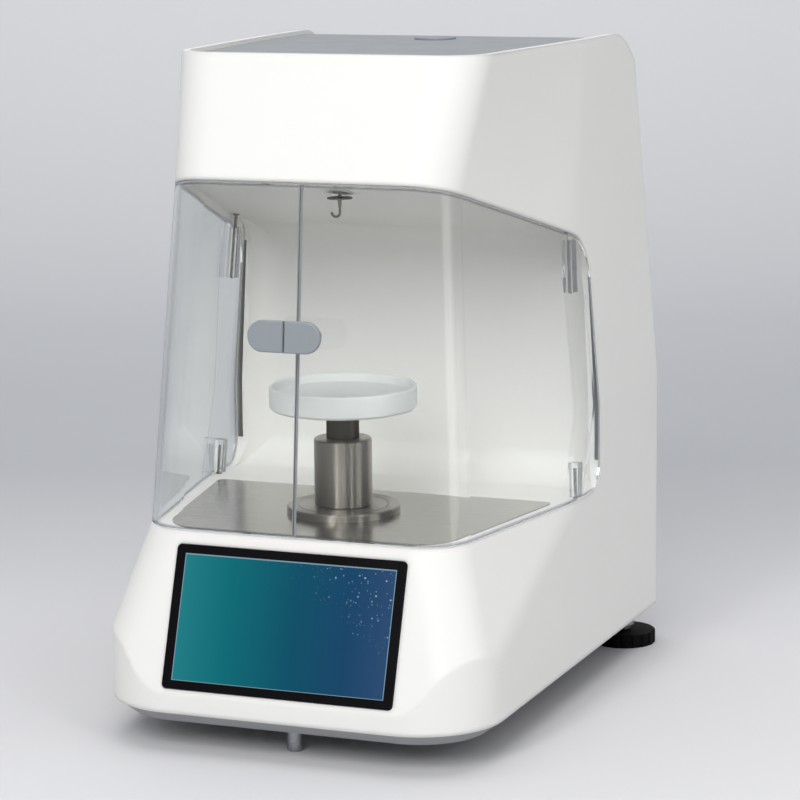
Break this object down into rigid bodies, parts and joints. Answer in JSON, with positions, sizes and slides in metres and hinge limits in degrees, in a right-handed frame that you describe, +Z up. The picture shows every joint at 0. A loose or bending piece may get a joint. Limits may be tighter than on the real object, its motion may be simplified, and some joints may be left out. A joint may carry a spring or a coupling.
{
  "type": "surface tensiometer",
  "caption": "Bench surface tensiometer: white tapered housing with clear hinged draught doors, steel lifting column with dish, weighing hook and sloping touch screen.",
  "frame": {"origin": "on the bench, below the middle of the instrument's outline", "axes": "+Z up, -Y towards the operator, +X to the operator's right"},
  "size_m": [0.303, 0.4082, 0.467],
  "materials": {
    "white_shell": "warm white moulded housing, satin gloss",
    "blue_grey_panel": "fine-textured blue-grey panel",
    "grey_plug": "fine-textured cap",
    "grey_trim": "satin grey moulded tray",
    "clear_sheet": "clear polished acrylic sheet",
    "clear_hinge": "clear moulded hinge blocks",
    "steel_bright": "ground bright steel",
    "steel_brushed": "brushed stainless steel",
    "frosted_dish": "frosted translucent white",
    "handle_grey": "satin grey grip plate",
    "handle_post": "satin grey standoff",
    "bezel_black": "black printed cover frame",
    "display": "lit teal to blue display",
    "sheet_metal": "plain sheet metal",
    "board_green": "circuit board",
    "motor_black": "black motor casing",
    "alloy": "machined alloy",
    "brass_nut": "turned brass",
    "foot_steel": "satin steel foot",
    "foot_black": "black moulded adjuster",
    "socket_black": "black moulded socket",
    "screw_steel": "dark steel screw"
  },
  "bodies": {
    "root": {"base_pan": "grey_trim", "board_standoffs": "brass_nut", "chamber_liner": "white_shell", "column_flange": "steel_brushed", "control_board": "board_green", "cover_screws": "screw_steel", "data_port": "socket_black", "display_board": "board_green", "display_bracket": "sheet_metal", "display_panel": "display", "drive_base_plate": "sheet_metal", "drive_top_plate": "sheet_metal", "floor_plate": "steel_brushed", "foot_bushes": "brass_nut", "foot_lock_nuts": "foot_steel", "force_sensor": "alloy", "front_foot": "foot_steel", "guide_post_left": "steel_bright", "guide_post_right": "steel_bright", "guide_sleeve": "steel_brushed", "hanger_pin": "steel_bright", "hinge_bushes": "steel_bright", "hinge_pins": "steel_bright", "lift_motor": "motor_black", "main_housing": "white_shell", "power_inlet": "socket_black", "power_supply": "sheet_metal", "rear_cover": "blue_grey_panel", "screen_bezel": "bezel_black", "sensor_beam": "alloy", "sensor_shelf": "sheet_metal", "switch_frame": "socket_black", "top_panel": "blue_grey_panel"},
    "door_left": {"door_left": "clear_sheet", "hinge_blocks_left": "clear_hinge", "handle_plate_left": "handle_grey", "handle_post_left": "handle_post"},
    "door_right": {"door_right": "clear_sheet", "hinge_blocks_right": "clear_hinge", "handle_plate_right": "handle_grey", "handle_post_right": "handle_post"},
    "lift": {"lift_shaft": "steel_bright", "lift_carriage": "sheet_metal", "lift_nut": "brass_nut"},
    "screw": {"lead_screw": "steel_bright", "motor_coupling": "alloy"},
    "dish": {"sample_dish": "frosted_dish"},
    "hanger": {"hanger_rod": "steel_bright", "hanger_disc": "steel_bright", "weighing_hook": "steel_bright"},
    "rocker": {"switch_rocker": "socket_black"},
    "stud_left": {"foot_stud_left": "foot_steel"},
    "stud_right": {"foot_stud_right": "foot_steel"},
    "knob_left": {"foot_knob_left": "foot_black"},
    "knob_right": {"foot_knob_right": "foot_black"},
    "plug": {"top_plug": "grey_plug"}
  },
  "joints": [
    {"name": "door_right_hinge", "type": "hinge", "parent": "root", "child": "door_right", "pos_m": [0.13737, 0.017, 0.16], "axis": [-0.0572, 0.08, 0.9952], "range_deg": [0, 85]},
    {"name": "door_left_hinge", "type": "hinge", "parent": "root", "child": "door_left", "pos_m": [-0.13737, 0.017, 0.16], "axis": [-0.0572, -0.08, -0.9952], "range_deg": [0, 85]},
    {"name": "screw_turn", "type": "hinge", "parent": "root", "child": "screw", "pos_m": [0, -0.0769, 0.08], "axis": [0, 0, 1], "range_deg": [-2720, 1100]},
    {"name": "lift_slide", "type": "slide", "parent": "root", "child": "lift", "axis": [0, 0, 1], "range_m": [-0.012, 0.03]},
    {"name": "dish_lift_off", "type": "slide", "parent": "lift", "child": "dish", "axis": [0, 0, 1], "range_m": [0, 0.06]},
    {"name": "hanger_swing", "type": "hinge", "parent": "root", "child": "hanger", "pos_m": [0, -0.0769, 0.4105], "axis": [0, 1, 0], "range_deg": [-3, 3]},
    {"name": "switch_rock", "type": "hinge", "parent": "root", "child": "rocker", "pos_m": [0.05, 0.1995, 0.078], "axis": [1, 0, 0], "range_deg": [-14, 0]},
    {"name": "plug_lift_off", "type": "slide", "parent": "root", "child": "plug", "axis": [0, 0, 1], "range_m": [0, 0.03]},
    {"name": "stud_right_travel", "type": "slide", "parent": "root", "child": "stud_right", "axis": [0, 0, -1], "range_m": [0, 0.008]},
    {"name": "knob_right_turn", "type": "hinge", "parent": "stud_right", "child": "knob_right", "pos_m": [0.1275, 0.1765, 0.005], "axis": [0, 0, 1], "range_deg": [-20, 2324]},
    {"name": "stud_left_travel", "type": "slide", "parent": "root", "child": "stud_left", "axis": [0, 0, -1], "range_m": [0, 0.008]},
    {"name": "knob_left_turn", "type": "hinge", "parent": "stud_left", "child": "knob_left", "pos_m": [-0.1275, 0.1765, 0.005], "axis": [0, 0, 1], "range_deg": [-20, 2324]}
  ],
  "couplings": [
    {"joint": "screw_turn", "follows": "lift_slide", "rad_per_m": -1570.8},
    {"joint": "knob_right_turn", "follows": "stud_right_travel", "rad_per_m": 5026.5},
    {"joint": "knob_left_turn", "follows": "stud_left_travel", "rad_per_m": 5026.5}
  ]
}
